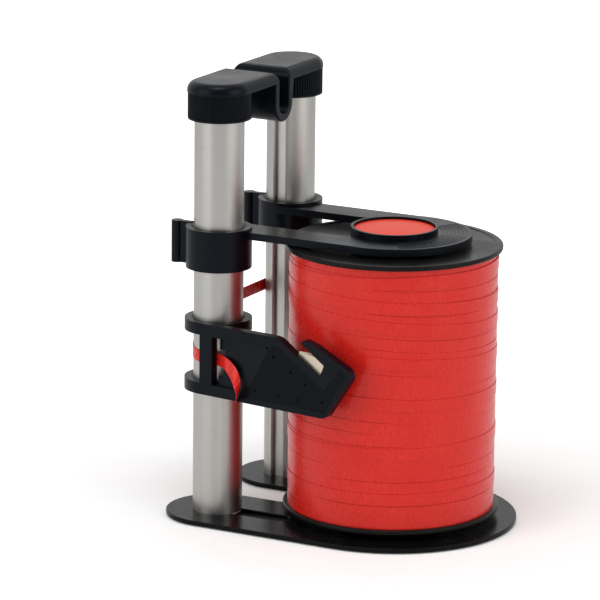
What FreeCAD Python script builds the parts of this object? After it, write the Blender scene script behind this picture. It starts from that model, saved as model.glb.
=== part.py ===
import FreeCAD, Part
import math
import os

from FreeCAD import Vector

# Ribbon spool dispenser. Millimetres, +Z up. The origin is on the spool's axis, on the surface that the
# stand rests on. The two columns stand at -X, the front one at -Y and the rear one at +Y.

# ---- Spool ---------------------------------------------------------------------------------------------
flange_radius = 54.5
flange_thickness = 2.4
flange_round = 0.6         # on both edges of each flange's rim
pack_height = 131.9
pack_gap = 2.0             # the wound ribbon stops this far inside the flanges' edge
core_radius = 19.0
core_wall = 2.0

# ---- Base ----------------------------------------------------------------------------------------------
pad_thickness = 0.5
plate_thickness = 2.5
arm_width = 52.0           # each arm of the plate, under one column
centre_pad_radius = 40.0
arm_pad_radius = 5.0
arm_pad_offset = 17.0      # across the arm, from the column's line
arm_pad_back = 9.0         # behind the column
strip_width = 20.0         # rubber strip that closes each slot from below
strip_start = 9.0          # from the column's line
strip_past = 3.0           # past the slot's end
slot_width = 10.4
slot_reach = 35.3          # straight part of the slot, from the column towards the spool
gap_depth = 21.0           # straight part of the gap between the arms, from the columns' plane
rebate_width = 16.4        # wider, shallow step under the slot, where the clamp washer runs
rebate_depth = 1.3

# ---- Columns -------------------------------------------------------------------------------------------
column_diameter = 25.0
column_wall = 4.5
column_offset = 24.5       # the columns' plane lies this far outside the flange's edge
column_inset = 16.5        # each column's line passes this far inside the flange's edge
groove_width = 6.0
groove_mouth = 9.4
groove_depth = 3.0
groove_chamfer = 1.1

# ---- Foot plugs and fasteners --------------------------------------------------------------------------
plug_length = 16.0
plug_clearance = 0.1       # radial, in the column's bore
plug_key_clearance = 0.15  # each side, in the base slot
screw_radius = 2.0
screw_length = 14.0
screw_head_radius = 4.0
screw_head_height = 1.0
washer_radius = 8.0
washer_thickness = 1.2

# ---- Hub under the spool -------------------------------------------------------------------------------
hub_flange_radius = 24.0
hub_flange_thickness = 2.7
hub_post_height = 26.0     # above the glide washer
hub_wall = 3.0
glide_radius = 22.0
glide_thickness = 1.0
hub_chamfer = 1.0          # on the post's upper edge
hub_screw_boss = 5.5
pilot_margin = 0.5         # the screw's hole goes this far past its end
run_clearance = 0.05       # radial and axial, where one piece turns or slides on another

# ---- Retainer on top of the spool ----------------------------------------------------------------------
retainer_gap = 1.35        # from the top flange to the retainer's underside
retainer_thickness = 3.7
ring_radius = 39.0
arm_outer = 0.5            # the arms' outer faces, past the columns' lines
arm_inner_gap = 17.0       # the arms' inner faces, inside the columns' lines
collar_wall = 4.1
collar_drop = 15.5         # the collars reach this far below the arms
collar_rise = 1.5          # and this far above them
bush_wall = 1.5
boss_radius = 21.85
boss_rise = 3.1
badge_radius = 20.45
badge_thickness = 2.4
badge_clearance = 0.05
badge_round = 0.6
ridge_count = 7            # concentric grooves in the ring, beyond the boss
ridge_pitch = 1.95
ridge_first = 24.6
ridge_width = 0.8
ridge_depth = 0.4
ridge_sector = 60.0        # degrees to each side of +X
spigot_length = 25.0
spigot_wall = 2.5
spigot_flange = 20.5
lug_reach = 26.8           # the lug's outer face, from the column's axis
lug_thickness = 3.0
lug_height = 21.4
lug_rise = 0.4             # the lug's top, above the collar's
lug_bead = 3.0             # radius of the round bead along its free edge
retainer_travel = 52.0
travel_margin = 2.9

# ---- Bridge over the columns ---------------------------------------------------------------------------
skirt_radius = 15.9
skirt_height = 13.5
bridge_radius = 16.2
bridge_height = 5.6
bridge_round = 4.6
bridge_cover = 5.8         # material over the columns' tops
trough_half = 5.0
trough_wall = 4.0
trough_depth = 22.0        # from the bridge's top to the inside of the trough
lip_radius = 5.0
knurl_count = 72
knurl_radius = 0.55
knurl_clear = 0.9          # plain band at the bottom of the skirt
bridge_spigot_length = 10.0
socket_clearance = 0.2     # above the columns' ends

# ---- Cutter on the front column ------------------------------------------------------------------------
cutter_bottom = 66.7
cutter_height = 36.6
drawn_height = 36.6        # the outlines below are drawn at this height, and follow cutter_height
cutter_ring_height = 6.0
cutter_wall = 4.5          # from the column's surface to the plate's front face and the rings' outside
cutter_thickness = 4.5
cutter_turn = -8.0         # degrees, from +X
liner_wall = 1.0
bar_start = 1.0
window_left = 8.6
window_low = 5.7
window_high = 30.4
window_through = 6.0       # width of the part of the window that is open to the back, where the ribbon passes
window_gap = 2.6           # and above and below it
exit_low = 10.2
exit_high = 24.2
ramp_depth = 4.2           # at the window's upper left corner
blade_thickness = 0.8
blade_front = 2.2          # depth of the blade behind the front face
cover_clearance = 0.15
rivet_radius = 1.2
rivet_front = 1.6
rib_pitch = 1.5
rib_groove = 0.5
rib_depth = 0.35
rib_count = 32
rib_angle = 61.5           # degrees above the plate's length
pit_radius = 0.75
pit_depth = 0.8

# ---- Ribbon --------------------------------------------------------------------------------------------
ribbon_width = 6.0
ribbon_thickness = 0.3
ribbon_gap = 0.05          # between the ribbon and the column that it goes round
web_rise = 36.4            # the ribbon's middle line behind the rear column, above the cutter's bottom
web_level = 30.0           # it runs level this far past the rear column's axis
web_split = 20.0           # the web ends this far before the front column's axis
window_ribbon = 18.2       # the ribbon's middle line in the cutter's window, above the cutter's bottom

# ---- Cutting shapes ------------------------------------------------------------------------------------
margin = 1.0               # they reach this far past what they cut
groove_lift = 0.1          # those for fine grooves start this far above the surface
tolerance = 1e-3           # for comparing places

# ---- Worked out ----------------------------------------------------------------------------------------
base_top = pad_thickness + plate_thickness
spool_bottom = base_top + hub_flange_thickness + glide_thickness + run_clearance
pack_bottom = spool_bottom + flange_thickness
pack_top = pack_bottom + pack_height
spool_top = pack_top + flange_thickness
retainer_bottom = spool_top + retainer_gap
retainer_top = retainer_bottom + retainer_thickness
collar_bottom = retainer_bottom - collar_drop
collar_top = retainer_top + collar_rise
boss_top = retainer_top + boss_rise
skirt_bottom = collar_top + retainer_travel + travel_margin
bridge_bottom = skirt_bottom + skirt_height
bridge_top = bridge_bottom + bridge_height
column_top = bridge_top - bridge_cover

column_radius = column_diameter / 2
column_bore = column_radius - column_wall
column_x = -(flange_radius + column_offset)
column_y = flange_radius - column_inset
base_radius = column_y + arm_width / 2
pack_radius = flange_radius - pack_gap
core_bore = core_radius - core_wall
bush_radius = column_radius + run_clearance
collar_radius = column_radius + collar_wall
collar_bore = bush_radius + bush_wall
cutter_offset = column_radius + cutter_wall
liner_radius = column_radius + run_clearance + liner_wall
cutter_bore = liner_radius + run_clearance
wrap_radius = column_radius + ribbon_gap + ribbon_thickness / 2

os.makedirs("parts", exist_ok=True)

X = Vector(1, 0, 0)
Y = Vector(0, 1, 0)
Z = Vector(0, 0, 1)


# ---- Shapes used by several pieces ---------------------------------------------------------------------

def save(name, *solids):
    """Write one node's solids."""
    Part.makeCompound(list(solids)).exportStep("parts/" + name + ".step")


def rod(radius, low, high, x=0.0, y=0.0):
    """An upright cylinder between two heights."""
    return Part.makeCylinder(radius, high - low, Vector(x, y, low))


def sleeve(outer, inner, low, high, x=0.0, y=0.0):
    """An upright tube between two heights."""
    return rod(outer, low, high, x, y).cut(rod(inner, low, high, x, y))


def block(x, y, z):
    """A box from three (low, high) pairs."""
    return Part.makeBox(x[1] - x[0], y[1] - y[0], z[1] - z[0], Vector(x[0], y[0], z[0]))


def countersink(radius, head_radius, head_height, low, high, x=0.0, y=0.0):
    """A screw's shape: a cone at the bottom that narrows to the shank."""
    head = Part.makeCone(head_radius, radius, head_height, Vector(x, y, low))
    return head.fuse(rod(radius, low + head_height, high, x, y)).removeSplitter()


def rounded_wire(corners):
    """A closed wire in the XZ plane through (x, z, radius) corners, each rounded by an arc."""
    points = [Vector(x, 0, z) for x, z, radius in corners]
    starts = []
    edges = []
    for index, (x, z, radius) in enumerate(corners):
        here = points[index]
        before = (points[index - 1] - here).normalize()
        after = (points[(index + 1) % len(points)] - here).normalize()
        half = before.getAngle(after) / 2
        tangent = radius / math.tan(half)
        start = here + before * tangent
        end = here + after * tangent
        starts.append((start, end))
        if radius > 0:
            middle = (before + after).normalize()
            crown = here + middle * (radius / math.sin(half) - radius)
            edges.append(Part.Arc(start, crown, end).toShape())
    straights = []
    for index in range(len(points)):
        here = starts[index][1]
        there = starts[(index + 1) % len(points)][0]
        if here.distanceToPoint(there) > tolerance:
            straights.append(Part.LineSegment(here, there).toShape())
    return Part.Wire(Part.__sortEdges__(edges + straights))


def plate_along_y(corners, low, high):
    """A flat piece with an outline in XZ, between two Y values."""
    face = Part.Face(rounded_wire(corners))
    face.translate(Y * low)
    return face.extrude(Y * (high - low))


def strip(edge_a, edge_b, thickness):
    """A thin solid band between two rows of points."""
    rows = []
    for index, (a, b) in enumerate(zip(edge_a, edge_b)):
        before = max(index - 1, 0)
        after = min(index + 1, len(edge_a) - 1)
        along = (edge_a[after] + edge_b[after]) - (edge_a[before] + edge_b[before])
        normal = along.cross(b - a).normalize() * (thickness / 2)
        rows.append([a + normal, b + normal, b - normal, a - normal])
    faces = []
    for low, high in zip(rows, rows[1:]):
        for side in range(4):
            other = (side + 1) % 4
            quad = [low[side], low[other], high[other], high[side]]
            if side > 1:           # both broad faces are split along the same diagonal
                quad = quad[1:] + quad[:1]
            faces += [quad[:3], [quad[0], quad[2], quad[3]]]
    for end in (rows[0], rows[-1]):
        faces.append([end[0], end[1], end[2]])
        faces.append([end[0], end[2], end[3]])
    shell = Part.makeShell([Part.Face(Part.makePolygon(points + points[:1])) for points in faces])
    solid = Part.makeSolid(shell)
    if solid.Volume < 0:
        solid.reverse()
    return solid


def columns():
    """The side sign and Y of the front and the rear column."""
    return [(-1, -column_y), (1, column_y)]


# ---- Base ----------------------------------------------------------------------------------------------

def slot_shape(width, low, high, y):
    """The long hole from under one column towards the spool."""
    hole = block((column_x, column_x + slot_reach), (y - width / 2, y + width / 2), (low, high))
    for x in (column_x, column_x + slot_reach):
        hole = hole.fuse(rod(width / 2, low, high, x, y))
    return hole


def base_plate():
    """A disc under the spool with two round-ended arms under the columns, cut from sheet steel."""
    plate = rod(base_radius, pad_thickness, base_top)
    for side, y in columns():
        arm = block((column_x, 0), (y - arm_width / 2, y + arm_width / 2), (pad_thickness, base_top))
        plate = plate.fuse(arm.fuse(rod(arm_width / 2, pad_thickness, base_top, column_x, y)))
    gap_end = column_x + gap_depth
    half_gap = column_y - arm_width / 2
    plate = plate.cut(block((column_x, gap_end), (-half_gap, half_gap), (pad_thickness, base_top)))
    plate = plate.cut(rod(half_gap, pad_thickness, base_top, gap_end, 0)).removeSplitter()
    for side, y in columns():
        plate = plate.cut(slot_shape(slot_width, pad_thickness, base_top, y))
        plate = plate.cut(slot_shape(rebate_width, pad_thickness, pad_thickness + rebate_depth, y))
    hole = countersink(screw_radius + run_clearance, screw_head_radius + run_clearance,
                       screw_head_height, pad_thickness, base_top)
    save("base_plate", plate.cut(hole))


def base_pads():
    """Thin rubber stuck under the plate: a large pad in the middle, and on each arm two small ones and a strip."""
    pads = [rod(centre_pad_radius, 0, pad_thickness)]
    for side, y in columns():
        pads.append(block((column_x + strip_start, column_x + slot_reach + slot_width / 2 + strip_past),
                          (y - strip_width / 2, y + strip_width / 2), (0, pad_thickness)))
        for across in (-arm_pad_offset, arm_pad_offset):
            pads.append(rod(arm_pad_radius, 0, pad_thickness, column_x - arm_pad_back, y + across))
    save("base_pads", *pads)


# ---- Columns and what holds them -----------------------------------------------------------------------

def groove_tool(side, y):
    """The groove of one column, which faces the other column."""
    surface = column_radius + margin
    neck = column_radius - groove_chamfer
    bottom = column_radius - groove_depth
    slope = (groove_mouth - groove_width) / 2 / groove_chamfer
    half_mouth = groove_mouth / 2 + slope * margin
    half = groove_width / 2
    outline = [(-half_mouth, surface), (-half, neck), (-half, bottom),
               (half, bottom), (half, neck), (half_mouth, surface)]
    points = [Vector(column_x + across, y - side * out, base_top) for across, out in outline]
    face = Part.Face(Part.makePolygon(points + points[:1]))
    return face.extrude(Z * (column_top - base_top))


def column_pieces():
    """Two aluminium extrusions, each with one groove along its inner side."""
    names = ["front_column", "rear_column"]
    for name, (side, y) in zip(names, columns()):
        column = sleeve(column_radius, column_bore, base_top, column_top, column_x, y)
        save(name, column.cut(groove_tool(side, y)))


def column_foot_plugs():
    """Moulded plugs in the columns' lower ends. A key under each sits in the slot of the base."""
    plugs = []
    key = slot_width / 2 - plug_key_clearance
    low = pad_thickness + rebate_depth
    for side, y in columns():
        plug = rod(column_bore - plug_clearance, base_top, base_top + plug_length, column_x, y)
        plug = plug.fuse(rod(key, low, base_top, column_x, y)).removeSplitter()
        plugs.append(plug.cut(rod(screw_radius, low, low + screw_length, column_x, y)))
    save("column_foot_plugs", *plugs)


def clamp_washers():
    """Steel washers in the rebate under the slots, which the screws pull up against the plate."""
    washers = []
    high = pad_thickness + rebate_depth
    low = high - washer_thickness
    for side, y in columns():
        washer = rod(washer_radius, low, high, column_x, y)
        washers.append(washer.cut(countersink(screw_radius, screw_head_radius, screw_head_height,
                                              low, high, column_x, y)))
    save("clamp_washers", *washers)


def column_screws():
    """Countersunk screws through the washers into the foot plugs."""
    low = pad_thickness + rebate_depth - washer_thickness
    screws = []
    for side, y in columns():
        screws.append(countersink(screw_radius, screw_head_radius, screw_head_height,
                                  low, low + screw_length, column_x, y))
    save("column_screws", *screws)


# ---- Hub -----------------------------------------------------------------------------------------------

def spindle_hub():
    """A moulded hub: a flange on the base, a hollow post in the spool's core and a boss for its screw."""
    washer_top = base_top + hub_flange_thickness + glide_thickness
    post_top = washer_top + hub_post_height
    post_radius = core_bore - run_clearance
    hub = rod(hub_flange_radius, base_top, base_top + hub_flange_thickness)
    hub = hub.fuse(sleeve(post_radius, post_radius - hub_wall, base_top, post_top))
    hub = hub.fuse(rod(hub_screw_boss, base_top, base_top + screw_length)).removeSplitter()
    rim = [edge for edge in hub.Edges
           if edge.Closed and abs(edge.CenterOfMass.z - post_top) < tolerance
           and abs(edge.Curve.Radius - post_radius) < tolerance]
    hub = hub.makeChamfer(hub_chamfer, rim)
    pilot = rod(screw_radius, base_top, pad_thickness + screw_length + pilot_margin)
    save("spindle_hub", hub.cut(pilot))


def spindle_screw():
    """The countersunk screw from below that holds the hub on the base."""
    save("spindle_screw", countersink(screw_radius, screw_head_radius, screw_head_height,
                                      pad_thickness, pad_thickness + screw_length))


def glide_washer():
    """The nylon washer that the spool turns on."""
    low = base_top + hub_flange_thickness
    bore = core_bore + run_clearance
    save("glide_washer", sleeve(glide_radius, bore, low, low + glide_thickness))


# ---- Spool ---------------------------------------------------------------------------------------------

def spool_core():
    """The moulded tube in the middle of the spool."""
    save("spool_core", sleeve(core_radius, core_bore, spool_bottom, spool_top))


def spool_flanges():
    """Two thin discs on the core's ends, with rounded rims."""
    for name, low in (("spool_bottom_flange", spool_bottom), ("spool_top_flange", pack_top)):
        disc = rod(flange_radius, low, low + flange_thickness)
        disc = disc.makeFillet(flange_round, [edge for edge in disc.Edges if edge.Closed])
        save(name, disc.cut(rod(core_radius, low, low + flange_thickness)))


def ribbon_pack():
    """The ribbon wound on the core."""
    save("ribbon_pack", sleeve(pack_radius, core_radius, pack_bottom, pack_top))


# ---- Retainer ------------------------------------------------------------------------------------------

def retainer_grooves():
    """Concentric finger grooves in the ring's top, in a sector beyond the boss."""
    tools = []
    for index in range(ridge_count):
        radius = ridge_first + index * ridge_pitch
        section = [Vector(radius - ridge_width, 0, retainer_top + groove_lift),
                   Vector(radius, 0, retainer_top - ridge_depth),
                   Vector(radius + ridge_width, 0, retainer_top + groove_lift)]
        face = Part.Face(Part.makePolygon(section + section[:1]))
        face.rotate(Vector(0, 0, 0), Z, -ridge_sector)
        tools.append(face.revolve(Vector(0, 0, 0), Z, 2 * ridge_sector))
    return Part.makeCompound(tools)


def finger_lug(y):
    """The lug on one collar that a finger lifts the retainer by: a thin web with a round bead."""
    high = collar_top + lug_rise
    low = high - lug_height
    half = lug_thickness / 2
    edge = column_x - lug_reach + lug_bead
    root = column_x - (collar_bore + collar_radius) / 2
    web = block((edge, root), (y - half, y + half), (low, high))
    return web.fuse(rod(lug_bead, low, high, edge, y))


def spool_retainer():
    """One moulding: collars round the columns, two arms, the ring on the spool and the badge's boss."""
    outer = column_y + arm_outer
    inner = column_y - arm_inner_gap
    body = rod(ring_radius, retainer_bottom, retainer_top)
    body = body.fuse(block((column_x, 0), (-outer, outer), (retainer_bottom, retainer_top)))
    body = body.cut(block((column_x - ring_radius, 0), (-inner, inner), (retainer_bottom, retainer_top)))
    body = body.fuse(rod(boss_radius, retainer_bottom, boss_top))
    for side, y in columns():
        body = body.fuse(rod(collar_radius, collar_bottom, collar_top, column_x, y))
        body = body.fuse(finger_lug(y))
    body = body.removeSplitter()
    for side, y in columns():
        body = body.cut(rod(collar_bore, collar_bottom, collar_top + margin, column_x, y))
    body = body.cut(rod(badge_radius + badge_clearance, retainer_top, boss_top))
    body = body.cut(rod(screw_radius, retainer_bottom, retainer_top))
    body = body.cut(Part.makeCone(screw_radius, screw_head_radius, screw_head_height,
                                  Vector(0, 0, retainer_top - screw_head_height)))
    save("spool_retainer", body.cut(retainer_grooves()))


def collar_bushes():
    """Thin nylon bushes in the collars, which slide on the columns."""
    save("collar_bushes", *[sleeve(collar_bore, bush_radius, collar_bottom, collar_top, column_x, y)
                            for side, y in columns()])


def retainer_spigot():
    """The hollow plug under the ring. It enters the spool's core, which turns on it."""
    radius = core_bore - run_clearance
    shoulder = spool_top + run_clearance
    low = shoulder - spigot_length
    plug = rod(radius, low, retainer_bottom).cut(rod(radius - spigot_wall, low, shoulder - spigot_wall))
    plug = plug.fuse(rod(spigot_flange, shoulder, retainer_bottom))
    plug = plug.fuse(rod(hub_screw_boss, shoulder - screw_length, retainer_bottom)).removeSplitter()
    save("retainer_spigot", plug.cut(rod(screw_radius, shoulder - screw_length, retainer_bottom)))


def spigot_screw():
    """The countersunk screw from above, under the badge, that joins retainer and spigot."""
    low = retainer_top - screw_length
    shank = rod(screw_radius, low, retainer_top - screw_head_height)
    head = Part.makeCone(screw_radius, screw_head_radius, screw_head_height,
                         Vector(0, 0, retainer_top - screw_head_height))
    save("spigot_screw", shank.fuse(head).removeSplitter())


def hub_badge():
    """The plain coloured disc that snaps into the boss, a little below its rim."""
    disc = rod(badge_radius, retainer_top, retainer_top + badge_thickness)
    top = [edge for edge in disc.Edges
           if edge.Closed and abs(edge.CenterOfMass.z - retainer_top - badge_thickness) < tolerance]
    save("hub_badge", disc.makeFillet(badge_round, top))


# ---- Bridge --------------------------------------------------------------------------------------------

def bridge_outline():
    """The bridge seen from above: a long shape with round ends over the columns, its top edge rounded."""
    trough_bottom = bridge_top - trough_depth - trough_wall
    body = block((column_x - bridge_radius, column_x + bridge_radius), (-column_y, column_y),
                 (trough_bottom, bridge_top))
    for side, y in columns():
        body = body.fuse(rod(bridge_radius, trough_bottom, bridge_top, column_x, y))
    body = body.removeSplitter()
    top = [edge for edge in body.Edges if abs(edge.CenterOfMass.z - bridge_top) < tolerance
           and abs(edge.BoundBox.ZMax - edge.BoundBox.ZMin) < tolerance]
    return body.makeFillet(bridge_round, top)


def bridge_section():
    """The bridge seen from the side: a flat top that dips into a round-bottomed trough in the middle."""
    outer = trough_half + trough_wall
    centre = bridge_top - trough_depth + trough_half
    end = column_y + bridge_radius
    lip_y = trough_half + lip_radius
    lip_z = bridge_top - lip_radius
    x = column_x - bridge_radius

    def line(a, b):
        return Part.LineSegment(Vector(x, *a), Vector(x, *b)).toShape()

    def arc(a, b, c):
        return Part.Arc(Vector(x, *a), Vector(x, *b), Vector(x, *c)).toShape()

    crown = lip_radius * math.cos(math.radians(45))
    edges = [line((-end, bridge_bottom), (-outer, bridge_bottom)),
             line((-outer, bridge_bottom), (-outer, centre)),
             arc((-outer, centre), (0, centre - outer), (outer, centre)),
             line((outer, centre), (outer, bridge_bottom)),
             line((outer, bridge_bottom), (end, bridge_bottom)),
             line((end, bridge_bottom), (end, bridge_top)),
             line((end, bridge_top), (lip_y, bridge_top)),
             arc((lip_y, bridge_top), (lip_y - crown, lip_z + crown), (trough_half, lip_z)),
             line((trough_half, lip_z), (trough_half, centre)),
             arc((trough_half, centre), (0, centre - trough_half), (-trough_half, centre)),
             line((-trough_half, centre), (-trough_half, lip_z)),
             arc((-trough_half, lip_z), (crown - lip_y, lip_z + crown), (-lip_y, bridge_top)),
             line((-lip_y, bridge_top), (-end, bridge_top)),
             line((-end, bridge_top), (-end, bridge_bottom))]
    return Part.Face(Part.Wire(edges)).extrude(X * (2 * bridge_radius))


def knurl_tools(y):
    """The flutes round one skirt."""
    flutes = []
    for index in range(knurl_count):
        angle = 2 * math.pi * (index + 0.5) / knurl_count
        flutes.append(rod(knurl_radius, skirt_bottom + knurl_clear, bridge_bottom,
                          column_x + skirt_radius * math.cos(angle), y + skirt_radius * math.sin(angle)))
    return Part.makeCompound(flutes)


def top_bridge():
    """The moulded handle that joins the columns' tops, with a fluted skirt round each."""
    body = bridge_outline().common(bridge_section())
    for side, y in columns():
        body = body.fuse(rod(skirt_radius, skirt_bottom, bridge_bottom, column_x, y))
    body = body.removeSplitter()
    for side, y in columns():
        socket = sleeve(column_radius + run_clearance, column_bore - plug_clearance,
                        column_top - bridge_spigot_length, column_top + socket_clearance, column_x, y)
        lower = rod(column_radius + run_clearance, skirt_bottom,
                    column_top - bridge_spigot_length, column_x, y)
        body = body.cut(socket).cut(lower).cut(knurl_tools(y))
    save("top_bridge", body)


# ---- Cutter, drawn with the column's axis at the origin and its plate along X ---------------------------

cutter_outline = [(0.0, 0.0, 0.0), (78.5, 0.0, 6.0), (93.5, 22.3, 4.0), (92.2, 26.5, 3.0),
                  (71.7, 36.2, 14.0), (65.2, 38.0, 2.0), (62.6, 36.4, 0.8), (69.9, 31.8, 0.8),
                  (77.3, 26.9, 0.6), (75.0, 21.6, 0.6), (73.7, 20.7, 0.5), (60.1, 29.5, 0.5),
                  (49.3, 36.6, 9.0), (0.0, 36.6, 0.0)]
diagonal_low = (26.9, 0.8)
diagonal_high = (43.1, 30.4)
blade_outline = [(60.6, 31.2, 0.0), (68.9, 31.2, 0.0), (79.5, 27.6, 0.0),
                 (80.5, 21.3, 0.0), (72.0, 13.8, 0.0), (58.5, 20.8, 0.0)]
cover_outline = [(46.0, 3.0, 1.0), (77.0, 3.0, 3.0), (88.5, 23.0, 1.0), (81.5, 25.0, 1.0),
                 (76.5, 17.5, 1.0), (58.5, 27.5, 1.0), (46.0, 27.5, 1.0)]
rivet_places = [(62.5, 22.8), (71.5, 17.8)]
rib_field = [(29.5, 3.0, 0.0), (78.0, 3.0, 0.0), (91.0, 24.5, 0.0), (87.0, 27.0, 0.0), (77.3, 14.5, 0.0),
             (51.0, 31.5, 0.0), (45.5, 32.5, 0.0)]
pit_places = [(35.2, 26.3), (43.0, 30.4), (46.8, 26.4), (57.7, 20.4), (66.1, 15.5),
              (35.8, 7.3), (49.6, 7.0), (61.7, 7.1), (76.8, 8.4)]


def place_cutter(shape):
    """Turn a cutter piece to its angle and set it on the front column."""
    shape = shape.copy()
    shape.rotate(Vector(0, 0, 0), Z, cutter_turn)
    shape.translate(Vector(column_x, -column_y, cutter_bottom))
    return shape


def depth(value):
    """A Y value for a depth behind the plate's front face."""
    return value - cutter_offset


def level(height):
    """A height on the cutter, from its height in the drawing."""
    return height * cutter_height / drawn_height


def cutter_piece(corners, low, high):
    """A flat piece of the cutter from its drawn corners, between two depths."""
    return plate_along_y([(x, level(z), radius) for x, z, radius in corners], depth(low), depth(high))


def rivet(high):
    """The rivets' shapes, up to a depth."""
    return [Part.makeCylinder(rivet_radius, high - rivet_front, Vector(x, depth(rivet_front), level(z)), Y)
            for x, z in rivet_places]


def window_edge(height):
    """Where the diagonal end of the window lies at a drawn height."""
    share = (height - diagonal_low[1]) / (diagonal_high[1] - diagonal_low[1])
    return diagonal_low[0] + share * (diagonal_high[0] - diagonal_low[0])


def diagonal():
    """The foot of the window's diagonal end on the plate's face, and the direction up along it."""
    foot = Vector(diagonal_low[0], depth(0), level(diagonal_low[1]))
    head = Vector(diagonal_high[0], depth(0), level(diagonal_high[1]))
    return foot, (head - foot).normalize()


def ramp_tool():
    """The wedge over the window's sloping floor: level with the face at the diagonal, deepest far left."""
    foot, along = diagonal()
    away = Vector(-along.z, 0, along.x)
    reach = (Vector(window_left, depth(0), level(window_high)) - foot).dot(away)
    foot = foot - along * cutter_height
    corner = foot + away * reach
    section = [foot, corner + Y * ramp_depth, corner - Y * margin, foot - Y * margin]
    wedge = Part.Face(Part.makePolygon(section + section[:1])).extrude(along * (3 * cutter_height))
    window = cutter_piece([(window_left, window_low, 0.0), (window_edge(window_low), window_low, 0.0),
                           (window_edge(window_high), window_high, 0.0), (window_left, window_high, 0.0)],
                          -margin, cutter_thickness + margin)
    return wedge.common(window)


def rib_grooves():
    """Fine parallel grooves in the face between the diagonal and the slanted end."""
    angle = math.radians(rib_angle)
    along = Vector(math.cos(angle), 0, math.sin(angle))
    across = Vector(math.sin(angle), 0, -math.cos(angle))
    start = diagonal()[0] - along * cutter_height
    grooves = []
    for index in range(1, rib_count + 1):
        middle = start + across * (index * rib_pitch)
        section = [middle - across * rib_groove - Y * groove_lift, middle + Y * rib_depth,
                   middle + across * rib_groove - Y * groove_lift]
        face = Part.Face(Part.makePolygon(section + section[:1]))
        grooves.append(face.extrude(along * (3 * cutter_height)))
    return Part.makeCompound(grooves).common(cutter_piece(rib_field, -margin, margin))


def cutter_body():
    """The moulded cutter: two rings, an upright bar, the window with its ramp, and the hooked blade slot."""
    ring = level(cutter_ring_height)
    blade_back = blade_front + blade_thickness
    plate = cutter_piece(cutter_outline, 0, cutter_thickness)
    for low in (0, cutter_height - ring):
        plate = plate.fuse(rod(cutter_offset, low, low + ring))
    plate = plate.removeSplitter()
    plate = plate.cut(block((-margin, bar_start), (depth(-margin), 0), (ring, cutter_height - ring)))
    plate = plate.cut(rod(cutter_bore, -margin, cutter_height + margin))
    for width, low, high in ((window_gap, window_low, window_high), (window_through, exit_low, exit_high)):
        plate = plate.cut(block((window_left, window_left + width),
                                (depth(-margin), depth(cutter_thickness + margin)), (level(low), level(high))))
    plate = plate.cut(ramp_tool())
    plate = plate.cut(cutter_piece(blade_outline, blade_front - run_clearance, blade_back))
    plate = plate.cut(cutter_piece(cover_outline, blade_back, cutter_thickness + margin))
    for hole in rivet(cutter_thickness + margin):
        plate = plate.cut(hole)
    for x, z in pit_places:
        plate = plate.cut(Part.makeCylinder(pit_radius, pit_depth + margin,
                                            Vector(x, depth(-margin), level(z)), Y))
    save("cutter_body", place_cutter(plate.cut(rib_grooves())))


def cutter_cover():
    """The flat cover behind the blade, let into the plate's back."""
    low = blade_front + blade_thickness
    cover = cutter_piece(cover_outline, low, cutter_thickness)
    inner = cover.makeOffsetShape(-cover_clearance, tolerance)
    length = max(x for x, z, radius in cutter_outline)
    slab = block((0, length), (depth(low), depth(cutter_thickness)), (0, cutter_height))
    cover = inner.common(slab)
    for hole in rivet(cutter_thickness + margin):
        cover = cover.cut(hole)
    save("cutter_cover", place_cutter(cover))


def cutter_blade():
    """The steel blade, held between plate and cover. Its upper edge crosses the slot's mouth."""
    blade = cutter_piece(blade_outline, blade_front, blade_front + blade_thickness)
    for hole in rivet(cutter_thickness):
        blade = blade.cut(hole)
    save("cutter_blade", place_cutter(blade))


def cutter_rivets():
    """The two rivets through cover and blade."""
    save("cutter_rivets", *[place_cutter(shape) for shape in rivet(cutter_thickness)])


def cutter_liners():
    """Two friction liners between the cutter's rings and the column."""
    ring = level(cutter_ring_height)
    save("cutter_liners", *[place_cutter(sleeve(liner_radius, column_radius + run_clearance,
                                                low, low + ring)) for low in (0, cutter_height - ring)])


# ---- Ribbon --------------------------------------------------------------------------------------------

def edges_of(middle):
    """Two rows of points above and below a row of points."""
    half = Z * (ribbon_width / 2)
    return [point + half for point in middle], [point - half for point in middle]


def ribbon_height(distance):
    """The middle line's height, a distance past the place where it leaves its level run."""
    run = 2 * column_y - web_level + wrap_radius * math.radians(90 + cutter_turn)
    share = min(max(distance / run, 0.0), 1.0)
    high = cutter_bottom + level(web_rise)
    low = cutter_bottom + level(window_ribbon)
    return high + (low - high) * (3 * share ** 2 - 2 * share ** 3)


def around(x, y, start, end, walked):
    """Points round a column, from an angle to another, after a distance walked down the run."""
    steps = 16
    points = []
    for index in range(steps + 1):
        turn = math.radians((end - start) * index / steps)
        angle = math.radians(start) + turn
        height = ribbon_height(walked + wrap_radius * turn)
        points.append(Vector(x + wrap_radius * math.cos(angle), y + wrap_radius * math.sin(angle), height))
    return points


def straight_run(start, end):
    """Points along the run between the columns, from one Y to another."""
    steps = 8
    points = []
    for index in range(steps + 1):
        y = start + (end - start) * index / steps
        points.append(Vector(column_x - wrap_radius, y, ribbon_height(column_y - web_level - y)))
    return points


def ribbon_web():
    """The ribbon from the spool round the rear column and on towards the front column."""
    leave = pack_radius + ribbon_gap + ribbon_thickness
    bearing = math.atan2(column_y, column_x)
    tangent = bearing - math.acos((leave - wrap_radius) / math.hypot(column_x, column_y))
    route = [Vector(leave * math.cos(tangent), leave * math.sin(tangent), cutter_bottom + level(web_rise))]
    route += around(column_x, column_y, math.degrees(tangent), 180, -2 * column_y)
    route += straight_run(column_y, web_split - column_y)[1:]
    save("ribbon_web", strip(*edges_of(route), ribbon_thickness))


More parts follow.
